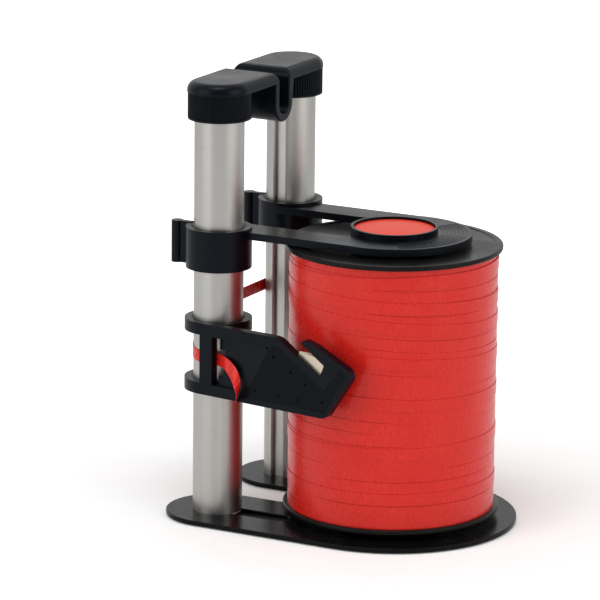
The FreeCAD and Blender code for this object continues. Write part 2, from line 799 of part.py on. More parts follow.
def ribbon_wrap():
    """The ribbon as it comes to the front column and round it, between the cutter's rings."""
    route = straight_run(web_split - column_y, -column_y)[:-1]
    route += around(column_x, -column_y, 180, 270 + cutter_turn, 2 * column_y - web_level)
    save("ribbon_wrap", strip(*edges_of(route), ribbon_thickness))


# The tail's edges on the cutter: along the plate, out in front of its face, and above the cutter's bottom.
tail_upper = [(4.4, -4.6, 21.2), (8.4, -4.85, 21.1), (11.2, -3.9, 21.3), (15.4, -1.9, 21.3),
              (19.0, -0.5, 20.6), (22.0, 0.4, 19.3), (24.6, 0.7, 17.2), (26.4, 0.9, 14.6), (27.4, 0.9, 11.4),
              (27.2, 0.9, 8.6), (26.4, 0.9, 5.6), (25.3, 0.8, 2.8), (24.2, 0.7, 0.0)]
tail_lower = [(4.4, -4.6, 15.2), (8.4, -4.85, 15.1), (11.0, -3.9, 15.2), (14.6, -1.9, 15.2),
              (17.4, -0.3, 14.6), (19.6, 1.0, 13.6), (21.9, 2.0, 12.0), (24.2, 3.4, 10.2), (26.3, 5.0, 8.4),
              (27.9, 5.7, 6.6), (28.6, 5.9, 5.6), (28.4, 5.7, 3.9), (27.5, 5.5, 1.4)]


def ribbon_tail():
    """The ribbon's free end: out of the window, over the ramp, turned on edge as it falls."""
    rows = [[Vector(x, depth(-out), level(z)) for x, out, z in edge] for edge in (tail_upper, tail_lower)]
    upper = []
    lower = []
    for above, below in zip(*rows):
        middle = (above + below) / 2
        half = (above - below).normalize() * (ribbon_width / 2)
        upper.append(middle + half)
        lower.append(middle - half)
    save("ribbon_tail", place_cutter(strip(upper, lower, ribbon_thickness)))


base_plate()
base_pads()
column_pieces()
column_foot_plugs()
clamp_washers()
column_screws()
spindle_hub()
spindle_screw()
glide_washer()
spool_core()
spool_flanges()
ribbon_pack()
spool_retainer()
collar_bushes()
retainer_spigot()
spigot_screw()
hub_badge()
top_bridge()
cutter_body()
cutter_cover()
cutter_blade()
cutter_rivets()
cutter_liners()
ribbon_web()
ribbon_wrap()
ribbon_tail()
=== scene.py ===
import bpy
import math
from mathutils import Matrix, Vector, noise


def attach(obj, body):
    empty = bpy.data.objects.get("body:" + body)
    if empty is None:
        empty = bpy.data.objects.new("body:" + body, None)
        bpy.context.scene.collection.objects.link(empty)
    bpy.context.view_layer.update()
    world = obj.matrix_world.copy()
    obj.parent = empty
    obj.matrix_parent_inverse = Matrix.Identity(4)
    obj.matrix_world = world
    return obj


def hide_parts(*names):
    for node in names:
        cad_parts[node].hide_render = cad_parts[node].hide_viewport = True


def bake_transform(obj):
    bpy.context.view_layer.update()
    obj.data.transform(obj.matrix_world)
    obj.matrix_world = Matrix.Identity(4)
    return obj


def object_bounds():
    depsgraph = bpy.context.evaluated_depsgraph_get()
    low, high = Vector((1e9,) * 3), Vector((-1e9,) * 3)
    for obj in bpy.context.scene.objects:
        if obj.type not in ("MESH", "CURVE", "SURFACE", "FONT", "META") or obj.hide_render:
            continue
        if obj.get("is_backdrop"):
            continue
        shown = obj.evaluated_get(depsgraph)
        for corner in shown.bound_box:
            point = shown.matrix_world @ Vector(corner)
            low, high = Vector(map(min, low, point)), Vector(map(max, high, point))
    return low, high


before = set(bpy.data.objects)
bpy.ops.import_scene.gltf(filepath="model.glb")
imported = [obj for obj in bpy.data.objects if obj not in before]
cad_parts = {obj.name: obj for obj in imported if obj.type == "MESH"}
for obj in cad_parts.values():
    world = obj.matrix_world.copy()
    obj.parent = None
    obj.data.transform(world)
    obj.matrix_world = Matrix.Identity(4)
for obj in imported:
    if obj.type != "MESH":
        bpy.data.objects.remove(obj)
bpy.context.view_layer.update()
mm = 0.001

# ---- Base plate ------------------------------------------------------------------------------------------
# The foot of the stand: a disc with two arms, punched from 2.5 mm sheet steel. Its edges are tumbled round and
# it is powder coated black, which leaves a faint ripple. The slots let the columns be set nearer the spool.


def sharp_edges(piece, least, wanted):
    """Select, in edit mode, the edges sharper than an angle whose two ends pass a test."""
    bpy.ops.object.mode_set(mode="EDIT")
    bpy.ops.mesh.select_mode(type="EDGE")
    bpy.ops.mesh.select_all(action="DESELECT")
    bpy.ops.mesh.edges_select_sharp(sharpness=math.radians(least))
    bpy.ops.object.mode_set(mode="OBJECT")
    points = [vertex.co for vertex in piece.data.vertices]
    keep = [edge.select and bool(wanted(points[edge.vertices[0]], points[edge.vertices[1]]))
            for edge in piece.data.edges]
    piece.data.polygons.foreach_set("select", [False] * len(piece.data.polygons))
    piece.data.vertices.foreach_set("select", [False] * len(piece.data.vertices))
    piece.data.edges.foreach_set("select", keep)
    bpy.ops.object.mode_set(mode="EDIT")


def merged_copy(node, name):
    """A copy of a CAD node's mesh with its loose triangles joined into whole faces."""
    bpy.ops.object.select_all(action="DESELECT")
    piece = bpy.data.objects.new(name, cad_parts[node].data.copy())
    bpy.context.collection.objects.link(piece)
    bpy.context.view_layer.objects.active = piece
    piece.select_set(True)
    piece.data.materials.clear()
    bpy.ops.mesh.customdata_custom_splitnormals_clear()
    bpy.ops.object.mode_set(mode="EDIT")
    bpy.ops.mesh.select_all(action="SELECT")
    bpy.ops.mesh.remove_doubles(threshold=0.002 * mm)
    bpy.ops.mesh.dissolve_limited(angle_limit=math.radians(0.2))
    bpy.ops.object.mode_set(mode="OBJECT")
    return piece


def shade(piece, angle=34):
    """Smooth the shading across the rounded edges and keep the flat faces flat."""
    bpy.ops.object.mode_set(mode="OBJECT")
    bpy.ops.object.select_all(action="DESELECT")
    bpy.context.view_layer.objects.active = piece
    piece.select_set(True)
    bpy.ops.object.shade_smooth_by_angle(angle=math.radians(angle))
    bpy.ops.object.modifier_add(type="WEIGHTED_NORMAL")
    piece.modifiers[-1].keep_sharp = True
    bpy.ops.object.modifier_apply(modifier=piece.modifiers[-1].name)


tumbled_edge = 0.45 * mm
plate = merged_copy("base_plate", "base_plate_coated")
sharp_edges(plate, 60, lambda a, b: True)
bpy.ops.mesh.bevel(offset=tumbled_edge, segments=3, clamp_overlap=True)
shade(plate)


def srgb(code):
    """The linear colour of an sRGB hex code."""
    levels = [int(code[at:at + 2], 16) / 255 for at in (1, 3, 5)]
    return [level / 12.92 if level <= 0.04045 else ((level + 0.055) / 1.055) ** 2.4 for level in levels] + [1.0]


def add_node(tree, kind, inputs=None, **settings):
    """Add a node, set its properties, and give its inputs values or link them to other nodes' outputs."""
    made = tree.nodes.new(kind)
    for name, value in settings.items():
        setattr(made, name, value)
    for name, value in (inputs or {}).items():
        if isinstance(value, bpy.types.NodeSocket):
            tree.links.new(value, made.inputs[name])
        else:
            made.inputs[name].default_value = value
    return made


def new_material(name, **constants):
    """A material's node tree with a Principled shader and an Object coordinate to build on."""
    made = bpy.data.materials.new(name)
    made.use_nodes = True
    tree = made.node_tree
    tree.nodes.clear()
    shader = add_node(tree, "ShaderNodeBsdfPrincipled",
                      {key.replace("_", " "): value for key, value in constants.items()})
    add_node(tree, "ShaderNodeOutputMaterial", {"Surface": shader.outputs["BSDF"]})
    place = add_node(tree, "ShaderNodeTexCoord").outputs["Object"]
    return made, tree, shader, place


# Powder coat: a semi-gloss skin that mirrors softly, with an orange-peel ripple every 1.6 mm and fine dust.
coat, tree, shader, place = new_material("powder_coat_satin_black", IOR=1.5, Specular_IOR_Level=0.08)
dust = add_node(tree, "ShaderNodeTexNoise", {"Vector": place, "Scale": 260.0, "Detail": 5.0, "Roughness": 0.7})
tone = add_node(tree, "ShaderNodeMix", {"Factor": dust.outputs["Fac"], "A": srgb("#07080a"), "B": srgb("#0e0f12")},
                data_type="RGBA")
gloss = add_node(tree, "ShaderNodeMapRange", {"Value": dust.outputs["Fac"], "From Min": 0.35, "From Max": 0.75,
                                              "To Min": 0.2, "To Max": 0.32})
peel = add_node(tree, "ShaderNodeTexNoise", {"Vector": place, "Scale": 620.0, "Detail": 1.0})
ripple = add_node(tree, "ShaderNodeBump", {"Height": peel.outputs["Fac"], "Strength": 0.10, "Distance": 0.1 * mm})
tree.links.new(tone.outputs["Result"], shader.inputs["Base Color"])
tree.links.new(gloss.outputs["Result"], shader.inputs["Roughness"])
tree.links.new(ripple.outputs["Normal"], shader.inputs["Normal"])
plate.data.materials.append(coat)
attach(plate, "root")
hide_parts("base_plate")

# Rubber pads stuck under the plate, and rubber strips that close its slots from below: the strips are a dark sheet
# standing in for the shade inside the slots. Nitrile rubber sheet, dull, with a pebble every 0.7 mm.
rubber, tree, shader, place = new_material("nitrile_rubber_pad", IOR=1.52)
grain = add_node(tree, "ShaderNodeTexNoise", {"Vector": place, "Scale": 1400.0, "Detail": 3.0})
tone = add_node(tree, "ShaderNodeMix", {"Factor": grain.outputs["Fac"], "A": srgb("#151515"), "B": srgb("#232322")},
                data_type="RGBA")
rough = add_node(tree, "ShaderNodeMapRange", {"Value": grain.outputs["Fac"], "To Min": 0.7, "To Max": 0.95})
pebble = add_node(tree, "ShaderNodeBump", {"Height": grain.outputs["Fac"], "Strength": 0.4, "Distance": 0.1 * mm})
tree.links.new(tone.outputs["Result"], shader.inputs["Base Color"])
tree.links.new(rough.outputs["Result"], shader.inputs["Roughness"])
tree.links.new(pebble.outputs["Normal"], shader.inputs["Normal"])


def dress(node, material):
    """Give a CAD node that stays in view its material."""
    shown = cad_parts[node]
    shown.data.materials.clear()
    shown.data.materials.append(material)


# The strips under the slots stand in for the shade in them.
dress("base_pads", rubber)

# ---- Columns ---------------------------------------------------------------------------------------------
# Two tubes of extruded aluminium, 25 mm across, with a groove down the side that faces the other column. They are
# satin anodised, so the die's fine lines run up them, and the sliding collar has left faint rings.
column_x = -79.0 * mm
column_y = 38.0 * mm
column_radius = 12.5 * mm
column_low = 3.0 * mm
column_high = 218.2 * mm
wall_thickness = 4.5 * mm
groove_neck = 6.0 * mm
groove_mouth = 9.4 * mm
groove_depth = 3.0 * mm
groove_flare = 1.1 * mm

# Satin anodised aluminium: a grey sheen in broad soft bands. The die's lines are drawn 0.7 mm apart, coarser than the
# real ones, so that they show.
anodised, tree, shader, place = new_material("aluminium_satin_anodised", Metallic=1.0)
stretch = add_node(tree, "ShaderNodeMapping", {"Vector": place, "Scale": (1.0, 1.0, 0.006)})
lines = add_node(tree, "ShaderNodeTexNoise", {"Vector": stretch.outputs["Vector"], "Scale": 1500.0, "Detail": 3.0,
                                              "Roughness": 0.6})
bands = add_node(tree, "ShaderNodeTexNoise", {"Vector": stretch.outputs["Vector"], "Scale": 260.0, "Detail": 2.0})
rings = add_node(tree, "ShaderNodeMapping", {"Vector": place, "Scale": (0.05, 0.05, 1.0)})
rubbed = add_node(tree, "ShaderNodeTexNoise", {"Vector": rings.outputs["Vector"], "Scale": 420.0, "Detail": 2.0,
                                               "Roughness": 0.8})
worn = add_node(tree, "ShaderNodeMapRange", {"Value": rubbed.outputs["Fac"], "From Min": 0.66, "From Max": 0.74,
                                             "To Min": 0.0, "To Max": 0.12})
tone = add_node(tree, "ShaderNodeMix", {"Factor": bands.outputs["Fac"], "A": srgb("#a6a4a0"), "B": srgb("#b9b7b3")},
                data_type="RGBA")
marked = add_node(tree, "ShaderNodeMix", {"Factor": worn.outputs["Result"], "A": tone.outputs["Result"],
                                          "B": srgb("#8f8e8b")}, data_type="RGBA")
rough = add_node(tree, "ShaderNodeMapRange", {"Value": lines.outputs["Fac"], "From Min": 0.3, "From Max": 0.7,
                                              "To Min": 0.33, "To Max": 0.43})
drawn = add_node(tree, "ShaderNodeBump", {"Height": lines.outputs["Fac"], "Strength": 0.12, "Distance": 0.05 * mm})
tree.links.new(marked.outputs["Result"], shader.inputs["Base Color"])
tree.links.new(rough.outputs["Result"], shader.inputs["Roughness"])
tree.links.new(drawn.outputs["Normal"], shader.inputs["Normal"])


def some_faces(piece, wanted):
    """Select, in edit mode, the faces whose centre and normal pass a test."""
    bpy.ops.object.mode_set(mode="EDIT")
    bpy.ops.mesh.select_mode(type="FACE")
    bpy.ops.mesh.select_all(action="DESELECT")
    bpy.ops.object.mode_set(mode="OBJECT")
    for face in piece.data.polygons:
        face.select = bool(wanted(face.center, face.normal))
    bpy.ops.object.mode_set(mode="EDIT")


def extruded_column(name, side):
    """A tube with its groove cut towards the other column."""
    bpy.ops.object.select_all(action="DESELECT")
    bpy.ops.mesh.primitive_cylinder_add(vertices=192, radius=column_radius, depth=column_high - column_low,
                                        location=(column_x, side * column_y, (column_high + column_low) / 2))
    tube = bpy.context.object
    tube.name = name
    bpy.ops.object.transform_apply()
    some_faces(tube, lambda centre, normal: abs(normal.z) > 0.9)
    bpy.ops.mesh.inset(thickness=wall_thickness)
    bpy.ops.mesh.bridge_edge_loops()
    bpy.ops.object.mode_set(mode="OBJECT")
    # The groove's own shape, which flares along the same slope until it is clear of the tube.
    neck = side * column_y - side * (column_radius - groove_flare)
    floor = side * column_y - side * (column_radius - groove_depth)
    clear = 2.1 * mm
    bpy.ops.mesh.primitive_cube_add(size=1, location=(column_x, (neck + floor) / 2, (column_high + column_low) / 2))
    groove = bpy.context.object
    groove.scale = (groove_neck, abs(neck - floor), column_high)
    bpy.ops.object.transform_apply()
    some_faces(groove, lambda centre, normal: normal.y * side < -0.9)
    bpy.ops.mesh.extrude_region_move(TRANSFORM_OT_translate={"value": (0, -side * clear, 0)})
    wider = (groove_mouth - groove_neck) * clear / groove_flare
    bpy.ops.transform.resize(value=((groove_neck + wider) / groove_neck, 1, 1))
    bpy.ops.object.mode_set(mode="OBJECT")
    bpy.context.view_layer.objects.active = tube
    cut = tube.modifiers.new("groove", "BOOLEAN")
    cut.object = groove
    cut.operation = "DIFFERENCE"
    cut.solver = "EXACT"
    bpy.ops.object.modifier_apply(modifier=cut.name)
    bpy.data.objects.remove(groove)
    shade(tube)
    return tube


for name, side, node in (("front_column_tube", -1, "front_column"), ("rear_column_tube", 1, "rear_column")):
    column = extruded_column(name, side)
    column.data.materials.append(anodised)
    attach(column, "root")
    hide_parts(node)

# ---- Foot plugs, washers and screws ----------------------------------------------------------------------
# Nylon plugs pressed into the tubes' lower ends. A zinc-plated screw and washer under the plate pull each down.

# Moulded nylon: near black and matt, with a fine skin every 0.4 mm.
nylon, tree, shader, place = new_material("nylon_black_moulded", IOR=1.53, Specular_IOR_Level=0.15)
flow = add_node(tree, "ShaderNodeTexNoise", {"Vector": place, "Scale": 120.0, "Detail": 4.0})
tone = add_node(tree, "ShaderNodeMix", {"Factor": flow.outputs["Fac"], "A": srgb("#161719"), "B": srgb("#202123")},
                data_type="RGBA")
rough = add_node(tree, "ShaderNodeMapRange", {"Value": flow.outputs["Fac"], "To Min": 0.4, "To Max": 0.6})
skin = add_node(tree, "ShaderNodeTexNoise", {"Vector": place, "Scale": 2600.0, "Detail": 2.0})
matt = add_node(tree, "ShaderNodeBump", {"Height": skin.outputs["Fac"], "Strength": 0.2, "Distance": 0.05 * mm})
tree.links.new(tone.outputs["Result"], shader.inputs["Base Color"])
tree.links.new(rough.outputs["Result"], shader.inputs["Roughness"])
tree.links.new(matt.outputs["Normal"], shader.inputs["Normal"])
dress("column_foot_plugs", nylon)

# Zinc-plated steel: bright grey with a cloudy, even gloss.
zinc, tree, shader, place = new_material("steel_zinc_plated", Metallic=1.0)
cloud = add_node(tree, "ShaderNodeTexNoise", {"Vector": place, "Scale": 700.0, "Detail": 4.0})
tone = add_node(tree, "ShaderNodeMix", {"Factor": cloud.outputs["Fac"], "A": srgb("#a9aaa6"), "B": srgb("#c8c9cb")},
                data_type="RGBA")
rough = add_node(tree, "ShaderNodeMapRange", {"Value": cloud.outputs["Fac"], "To Min": 0.25, "To Max": 0.45})
tree.links.new(tone.outputs["Result"], shader.inputs["Base Color"])
tree.links.new(rough.outputs["Result"], shader.inputs["Roughness"])
for node in ("clamp_washers", "column_screws", "spindle_screw"):
    dress(node, zinc)

# ---- Hub and glide washer --------------------------------------------------------------------------------
# A moulded nylon post, screwed to the plate, that the spool's core stands over, and the washer it turns on.
dress("spindle_hub", nylon)
dress("glide_washer", nylon)

# ---- Spool core and flanges ------------------------------------------------------------------------------
# The spool is polystyrene: a tube with a disc at each end. Each disc has a raised bead along its rim.
flange_radius = 54.5 * mm
flange_height = 2.4 * mm
core_radius = 19.0 * mm
bead_width = 2.6 * mm
bead_rise = 0.35 * mm
rim_edge = 0.7 * mm
bead_slope = 0.5 * mm

# Moulded polystyrene: black, smoother than the nylon, with faint swirls where it flowed.
styrene, tree, shader, place = new_material("polystyrene_black_moulded", IOR=1.55, Specular_IOR_Level=0.09)
swirl = add_node(tree, "ShaderNodeTexNoise", {"Vector": place, "Scale": 60.0, "Detail": 5.0, "Distortion": 0.6})
tone = add_node(tree, "ShaderNodeMix", {"Factor": swirl.outputs["Fac"], "A": srgb("#0b0c0b"), "B": srgb("#131412")},
                data_type="RGBA")
rough = add_node(tree, "ShaderNodeMapRange", {"Value": swirl.outputs["Fac"], "From Min": 0.3, "From Max": 0.7,
                                              "To Min": 0.26, "To Max": 0.38})
skin = add_node(tree, "ShaderNodeTexNoise", {"Vector": place, "Scale": 2200.0, "Detail": 2.0})
fine = add_node(tree, "ShaderNodeBump", {"Height": skin.outputs["Fac"], "Strength": 0.1, "Distance": 0.05 * mm})
tree.links.new(tone.outputs["Result"], shader.inputs["Base Color"])
tree.links.new(rough.outputs["Result"], shader.inputs["Roughness"])
tree.links.new(fine.outputs["Normal"], shader.inputs["Normal"])
dress("spool_core", styrene)

for name, node, low, outside in (("bottom_flange_disc", "spool_bottom_flange", 6.75 * mm, -1),
                                 ("top_flange_disc", "spool_top_flange", 141.05 * mm, 1)):
    bpy.ops.object.select_all(action="DESELECT")
    bpy.ops.mesh.primitive_cylinder_add(vertices=256, radius=flange_radius, depth=flange_height,
                                        location=(0, 0, low + flange_height / 2))
    disc = bpy.context.object
    disc.name = name
    bpy.ops.object.transform_apply()
    sharp_edges(disc, 60, lambda a, b: True)
    bpy.ops.mesh.bevel(offset=rim_edge, segments=4)
    some_faces(disc, lambda centre, normal: abs(normal.z) > 0.99 and centre.xy.length < 1 * mm)
    bpy.ops.mesh.inset(thickness=bead_width)
    bpy.ops.mesh.inset(thickness=bead_slope)
    some_faces(disc, lambda centre, normal: normal.z * outside > 0.99 and centre.xy.length < 1 * mm)
    bpy.ops.transform.translate(value=(0, 0, -outside * bead_rise))
    some_faces(disc, lambda centre, normal: abs(normal.z) > 0.99 and centre.xy.length < 1 * mm)
    bpy.ops.mesh.inset(thickness=flange_radius - rim_edge - bead_width - bead_slope - core_radius)
    bpy.ops.mesh.bridge_edge_loops()
    shade(disc)
    disc.data.materials.append(styrene)
    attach(disc, "spool")
    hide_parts(node)

# ---- Wound ribbon ----------------------------------------------------------------------------------------
# About 500 m of polypropylene curling ribbon, 6 mm wide, wound layer on layer. The last turns lie side by side
# with small gaps and overlaps, level near the bottom and slanting where the winder's guide ran back and forth.
pack_low = 9.15 * mm
pack_high = 141.05 * mm
pack_radius = 52.5 * mm
ribbon_width = 6.0 * mm
turn_spacing = 6.07 * mm
greatest_slant = 3.4 * mm
under_depth = 0.62 * mm
second_layer_depth = 0.3 * mm
layer_thickness = 0.28 * mm
wall_share = 0.1

# Foamed polypropylene film: a clear red whose sheen keeps some of the red. Its fibres run across the ribbon, drawn
# 0.9 mm apart and three times as long, coarser than the real ones, so that they show.
satin, tree, shader, place = new_material("polypropylene_ribbon_red", IOR=1.49, Specular_IOR_Level=0.5,
                                          Specular_Tint=(1.0, 0.6, 0.54, 1.0))
across = add_node(tree, "ShaderNodeMapping", {"Vector": place, "Scale": (1.0, 1.0, 0.3)})
crimp = add_node(tree, "ShaderNodeTexNoise", {"Vector": across.outputs["Vector"], "Scale": 1100.0, "Detail": 3.0,
                                              "Roughness": 0.65})
patch = add_node(tree, "ShaderNodeTexNoise", {"Vector": place, "Scale": 70.0, "Detail": 3.0})
tone = add_node(tree, "ShaderNodeMix", {"Factor": crimp.outputs["Fac"], "A": srgb("#b80f0b"), "B": srgb("#e03027")},
                data_type="RGBA")
deep = add_node(tree, "ShaderNodeMapRange", {"Value": patch.outputs["Fac"], "From Min": 0.35, "From Max": 0.65,
                                             "To Min": 0.0, "To Max": 0.35})
mixed = add_node(tree, "ShaderNodeMix", {"Factor": deep.outputs["Result"], "A": tone.outputs["Result"],
                                         "B": srgb("#c4100d")}, data_type="RGBA")
rough = add_node(tree, "ShaderNodeMapRange", {"Value": crimp.outputs["Fac"], "From Min": 0.3, "From Max": 0.7,
                                              "To Min": 0.22, "To Max": 0.32})
press = add_node(tree, "ShaderNodeBump", {"Height": crimp.outputs["Fac"], "Strength": 0.15, "Distance": 0.06 * mm})
tree.links.new(mixed.outputs["Result"], shader.inputs["Base Color"])
tree.links.new(rough.outputs["Result"], shader.inputs["Roughness"])
tree.links.new(press.outputs["Normal"], shader.inputs["Normal"])

# What lies below: a smooth tube of ribbon under the last two layers.
bpy.ops.object.select_all(action="DESELECT")
bpy.ops.mesh.primitive_cylinder_add(vertices=192, radius=pack_radius - under_depth, depth=pack_high - pack_low,
                                    location=(0, 0, (pack_high + pack_low) / 2))
pack = bpy.context.object
pack.name = "wound_ribbon"
bpy.ops.object.transform_apply()
some_faces(pack, lambda centre, normal: abs(normal.z) > 0.99)
bpy.ops.mesh.inset(thickness=pack_radius - under_depth - core_radius)
bpy.ops.mesh.bridge_edge_loops()
bpy.ops.object.mode_set(mode="OBJECT")

# One flat turn of ribbon, copied for every turn of the last two layers.
bpy.ops.mesh.primitive_cylinder_add(vertices=160, radius=1.0, depth=1.0, end_fill_type="NOTHING")
turn = bpy.context.object
bpy.ops.object.mode_set(mode="EDIT")
bpy.ops.mesh.select_all(action="SELECT")
bpy.ops.mesh.subdivide(number_cuts=0)
bpy.ops.object.mode_set(mode="OBJECT")
wall = turn.modifiers.new("wall", "SOLIDIFY")
wall.thickness = wall_share
wall.offset = -1
bpy.ops.object.modifier_apply(modifier=wall.name)


def lay_turn(height, slant, bearing, radius, seed):
    """A turn of the winding: its middle height, how far it climbs from its middle, and its outer radius."""
    mesh = turn.data.copy()
    for vertex in mesh.vertices:
        angle = math.atan2(vertex.co.y, vertex.co.x)
        outward = (vertex.co.xy.length - (1 - wall_share)) / wall_share
        sway = noise.noise((math.cos(angle) * 1.3, math.sin(angle) * 1.3, seed)) * 0.5 * mm
        z = height - slant * math.sin(angle - bearing) + sway + vertex.co.z * ribbon_width
        z = min(max(z, pack_low), pack_high)
        tuck = 0.06 * mm * (0.5 - vertex.co.z)
        r = radius - tuck - (1 - outward) * layer_thickness
        vertex.co = (r * math.cos(angle), r * math.sin(angle), z)
    piece = bpy.data.objects.new("turn", mesh)
    bpy.context.collection.objects.link(piece)
    return piece


front = math.radians(-62.0)
turns = []
height = pack_low + 2.9 * mm
index = 0
while height < pack_high - 2.6 * mm:
    share = (height - pack_low) / (pack_high - pack_low)
    slant = greatest_slant * math.sin(math.pi * min(1.0, max(0.0, (share - 0.3) / 0.7)))
    wobble = noise.noise((index * 1.7, 3.1, 0.0))
    turns.append(lay_turn(height, slant, front, pack_radius - second_layer_depth, index * 0.73))
    height += turn_spacing + 0.16 * wobble * mm
    index += 1
for height, slant, bearing in ((24.0, 0.6, 0.5), (47.5, 1.0, 2.0), (72.0, 1.6, -0.6), (93.0, 3.6, -0.9),
                               (111.5, 4.4, -1.1), (121.0, 3.0, -0.8), (133.5, -1.6, -1.6)):
    turns.append(lay_turn(height * mm, slant * mm, bearing, pack_radius, height * 0.31))
bpy.data.objects.remove(turn)
bpy.ops.object.select_all(action="DESELECT")
for piece in turns:
    piece.select_set(True)
pack.select_set(True)
bpy.context.view_layer.objects.active = pack
bpy.ops.object.join()
shade(pack)
pack.data.materials.clear()
pack.data.materials.append(satin)
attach(pack, "spool")
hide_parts("ribbon_pack")

# ---- Retainer --------------------------------------------------------------------------------------------
# One moulding of black nylon that keeps the spool on its hub: two collars on the columns, two arms and a ring with
# fine grooves. Nylon bushes line the collars, and a lug on each is there to lift it by.
groove_low = 147.9 * mm
groove_high = 148.7 * mm
groove_inside = 22.5 * mm
groove_outside = 37.5 * mm
moulded_edge = 0.5 * mm


def in_grooves(a, b):
    """Whether an edge belongs to the fine grooves round the front half of the ring."""
    return (min(a.z, b.z) > groove_low and max(a.z, b.z) < groove_high
            and groove_inside < ((a + b) / 2).xy.length < groove_outside and a.x > 0)


retainer = merged_copy("spool_retainer", "spool_retainer_moulded")
sharp_edges(retainer, 60, lambda a, b: not in_grooves(a, b))
bpy.ops.mesh.bevel(offset=moulded_edge, segments=5, clamp_overlap=True)
shade(retainer, 20)

# Moulded in a spark-eroded tool: an even matt skin, with grain every 0.4 mm. The blue in its colours and in the tint
# of its sheen is painted light: it stands for the bluish light on the black.
moulding, tree, shader, place = new_material("nylon_black_satin_moulded", IOR=1.5, Specular_IOR_Level=0.12,
                                             Specular_Tint=(0.8, 0.9, 1.0, 1.0))
flow = add_node(tree, "ShaderNodeTexNoise", {"Vector": place, "Scale": 45.0, "Detail": 5.0, "Roughness": 0.6})
# Painted light: the blue cast of both colours.
tone = add_node(tree, "ShaderNodeMix", {"Factor": flow.outputs["Fac"], "A": srgb("#04060a"), "B": srgb("#090c12")},
                data_type="RGBA")
rough = add_node(tree, "ShaderNodeMapRange", {"Value": flow.outputs["Fac"], "From Min": 0.3, "From Max": 0.7,
                                              "To Min": 0.26, "To Max": 0.37})
skin = add_node(tree, "ShaderNodeTexNoise", {"Vector": place, "Scale": 2500.0, "Detail": 2.0})
matt = add_node(tree, "ShaderNodeBump", {"Height": skin.outputs["Fac"], "Strength": 0.22, "Distance": 0.06 * mm})
tree.links.new(tone.outputs["Result"], shader.inputs["Base Color"])
tree.links.new(rough.outputs["Result"], shader.inputs["Roughness"])
tree.links.new(matt.outputs["Normal"], shader.inputs["Normal"])
retainer.data.materials.append(moulding)
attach(retainer, "retainer")
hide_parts("spool_retainer")
dress("collar_bushes", nylon)
dress("retainer_spigot", nylon)
dress("spigot_screw", zinc)

# ---- Badge -----------------------------------------------------------------------------------------------
# A plain red disc that snaps into the boss and covers the screw. ABS, glossy, slightly domed.
badge_radius = 20.45 * mm
badge_low = 148.5 * mm
badge_thickness = 1.9 * mm
badge_edge = 0.7 * mm
bpy.ops.object.select_all(action="DESELECT")
bpy.ops.mesh.primitive_cylinder_add(vertices=192, radius=badge_radius, depth=badge_thickness,
                                    location=(0, 0, badge_low + badge_thickness / 2))
badge = bpy.context.object
badge.name = "hub_badge_disc"
bpy.ops.object.transform_apply()
sharp_edges(badge, 60, lambda a, b: min(a.z, b.z) > badge_low + badge_thickness / 2)
bpy.ops.mesh.bevel(offset=badge_edge, segments=4)
for rise in (0.2, 0.13, 0.09, 0.05, 0.03):
    some_faces(badge, lambda centre, normal: normal.z > 0.9 and centre.xy.length < 1 * mm)
    bpy.ops.mesh.inset(thickness=3.4 * mm)
    bpy.ops.transform.translate(value=(0, 0, rise * mm))
shade(badge)

# Moulded ABS: a bright orange red with a slightly dimpled gloss.
cherry, tree, shader, place = new_material("abs_red_gloss", IOR=1.53, Specular_IOR_Level=0.07)
cloud = add_node(tree, "ShaderNodeTexNoise", {"Vector": place, "Scale": 420.0, "Detail": 4.0, "Roughness": 0.6})
tone = add_node(tree, "ShaderNodeMix", {"Factor": cloud.outputs["Fac"], "A": srgb("#dc2e18"), "B": srgb("#ea4022")},
                data_type="RGBA")
rough = add_node(tree, "ShaderNodeMapRange", {"Value": cloud.outputs["Fac"], "To Min": 0.25, "To Max": 0.42})
dimple = add_node(tree, "ShaderNodeBump", {"Height": cloud.outputs["Fac"], "Strength": 0.25, "Distance": 0.1 * mm})
tree.links.new(tone.outputs["Result"], shader.inputs["Base Color"])
tree.links.new(rough.outputs["Result"], shader.inputs["Roughness"])
tree.links.new(dimple.outputs["Normal"], shader.inputs["Normal"])
badge.data.materials.append(cherry)
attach(badge, "retainer")
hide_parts("hub_badge")

# ---- Bridge ----------------------------------------------------------------------------------------------
# The handle across the columns' tops, pressed onto them: moulded nylon with a fluted skirt round each column and
# a deep trough between them.
trough_reach = 21.0 * mm
trough_edge = 0.8 * mm
bridge = merged_copy("top_bridge", "top_bridge_moulded")
sharp_edges(bridge, 60, lambda a, b: max(abs(a.y), abs(b.y)) < trough_reach)
bpy.ops.mesh.bevel(offset=trough_edge, segments=3, clamp_overlap=True)
shade(bridge)
bridge.data.materials.append(moulding)
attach(bridge, "root")
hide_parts("top_bridge")

# ---- Cutter ----------------------------------------------------------------------------------------------
# A flat moulding that clips round the front column by two rings. It slides and swings on it, and carries a blade
# across the mouth of its hooked slot. A cover and two rivets hold the blade from behind.
cutter_low = 66.7 * mm
cutter_face = 17.0 * mm
cutter_thick = 4.5 * mm
cutter_turn = math.radians(-8.0)
cutter_edge = 0.55 * mm
blade_bevel = 1.0 * mm
to_cutter = (Matrix.Rotation(-cutter_turn, 4, "Z") @ Matrix.Translation((-column_x, column_y, -cutter_low)))
plate_outline = [(0.0, 0.0), (78.5, 0.0), (93.5, 22.3), (92.2, 26.5), (71.7, 36.2), (65.2, 38.0), (62.6, 36.4),
                 (69.9, 31.8), (77.3, 26.9), (75.0, 21.6), (73.7, 20.7), (60.1, 29.5), (49.3, 36.6), (0.0, 36.6)]


def off_outline(point):
    """How far a point of the plate lies from its outline, in the plate's plane."""
    best = 1.0
    here = Vector((point.x, point.z))
    for first, second in zip(plate_outline, plate_outline[1:]):
        a, b = Vector(first) * mm, Vector(second) * mm
        share = min(max((here - a).dot(b - a) / (b - a).length_squared, 0.0), 1.0)
        best = min(best, (here - a - (b - a) * share).length)
    return best


